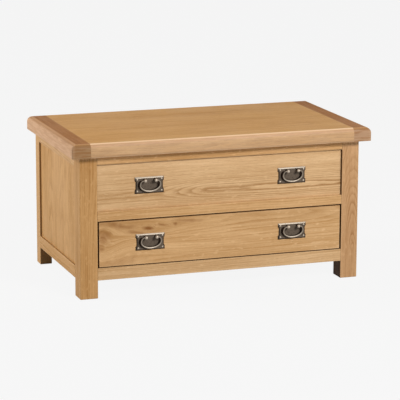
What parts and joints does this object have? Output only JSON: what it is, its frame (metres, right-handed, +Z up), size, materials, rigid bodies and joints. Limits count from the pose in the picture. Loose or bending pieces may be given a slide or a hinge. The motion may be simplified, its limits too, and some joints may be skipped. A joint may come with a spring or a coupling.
{
  "type": "mule chest",
  "caption": "Oak frame-and-panel mule chest: a hinged lid with end cleats over a deep well, false drawer front above, working inset drawer below, dark bail handles.",
  "frame": {"origin": "on the floor under the middle of the outline", "axes": "+Z up, front faces -Y, +X along the length to the right of someone facing the front"},
  "size_m": [1, 0.56, 0.501],
  "materials": {
    "oak": "satin lacquer over honey oak",
    "oak_dark": "satin lacquer over browner oak",
    "oak_inner": "sanded, thinly lacquered",
    "plywood": "oak-faced board, thinly lacquered",
    "pewter": "dark antique pewter, worn bright on the high places",
    "steel": "zinc plated"
  },
  "bodies": {
    "case": {"leg_front_left": "oak", "leg_front_right": "oak", "leg_rear_left": "oak", "leg_rear_right": "oak", "front_top_rail": "oak", "front_middle_rail": "oak", "front_bottom_rail": "oak", "front_panel": "oak", "side_top_rail_left": "oak", "side_top_rail_right": "oak", "side_bottom_rail_left": "oak", "side_bottom_rail_right": "oak", "side_panel_left": "oak", "side_panel_right": "oak", "rear_top_rail": "oak", "rear_bottom_rail": "oak", "back_panel": "plywood", "chest_floor": "plywood", "floor_cleats": "oak_inner", "drawer_kickers": "oak_inner", "drawer_runner_left": "oak_inner", "drawer_runner_right": "oak_inner", "drawer_stops": "oak_inner", "hinge_case_leaves": "steel", "hinge_pins": "steel", "hinge_case_screws": "steel", "stay_case_bracket": "steel", "stay_case_rivet": "steel", "stay_case_screws": "steel", "handle_plate_upper_left": "pewter", "handle_plate_upper_right": "pewter", "handle_posts_upper": "pewter", "handle_pins_upper": "pewter", "handle_nuts_upper": "steel"},
    "lid": {"lid_board": "oak", "lid_cleat_left": "oak_dark", "lid_cleat_right": "oak_dark", "hinge_lid_leaves": "steel", "hinge_lid_screws": "steel", "stay_lid_bracket": "steel", "stay_lid_rivet": "steel", "stay_lid_screws": "steel"},
    "drawer": {"drawer_front": "oak", "drawer_side_left": "oak_inner", "drawer_side_right": "oak_inner", "drawer_back": "oak_inner", "drawer_bottom": "plywood", "handle_plate_lower_left": "pewter", "handle_plate_lower_right": "pewter", "handle_posts_lower": "pewter", "handle_pins_lower": "pewter", "handle_nuts_lower": "steel"},
    "stay_lower": {"stay_lower_arm": "steel", "stay_elbow_rivet": "steel"},
    "stay_upper": {"stay_upper_arm": "steel"},
    "bail_upper_left": {"bail_upper_left": "pewter"},
    "bail_upper_right": {"bail_upper_right": "pewter"},
    "bail_lower_left": {"bail_lower_left": "pewter"},
    "bail_lower_right": {"bail_lower_right": "pewter"}
  },
  "joints": [
    {"name": "lid_hinge", "type": "hinge", "parent": "case", "child": "lid", "pos_m": [0, 0.275, 0.45625], "axis": [-1, 0, 0], "range_deg": [0, 95]},
    {"name": "drawer_slide", "type": "slide", "parent": "case", "child": "drawer", "axis": [0, -1, 0], "range_m": [0, 0.33]},
    {"name": "stay_case_pivot", "type": "hinge", "parent": "case", "child": "stay_lower", "pos_m": [0.4252, 0.23, 0.35392], "axis": [-1, 0, 0], "range_deg": [0, 95]},
    {"name": "stay_elbow", "type": "hinge", "parent": "stay_lower", "child": "stay_upper", "pos_m": [0.4219, 0.11, 0.33792], "axis": [-1, 0, 0], "range_deg": [-95, 0]},
    {"name": "bail_upper_left_swing", "type": "hinge", "parent": "case", "child": "bail_upper_left", "pos_m": [-0.24, -0.258, 0.36975], "axis": [-1, 0, 0], "range_deg": [-3, 102]},
    {"name": "bail_upper_right_swing", "type": "hinge", "parent": "case", "child": "bail_upper_right", "pos_m": [0.24, -0.258, 0.36975], "axis": [-1, 0, 0], "range_deg": [-3, 102]},
    {"name": "bail_lower_left_swing", "type": "hinge", "parent": "drawer", "child": "bail_lower_left", "pos_m": [-0.24, -0.266, 0.1885], "axis": [-1, 0, 0], "range_deg": [-3, 102]},
    {"name": "bail_lower_right_swing", "type": "hinge", "parent": "drawer", "child": "bail_lower_right", "pos_m": [0.24, -0.266, 0.1885], "axis": [-1, 0, 0], "range_deg": [-3, 102]}
  ],
  "couplings": [
    {"joint": "stay_case_pivot", "follows": "lid_hinge", "ratio": 1},
    {"joint": "stay_elbow", "follows": "lid_hinge", "ratio": -1}
  ]
}
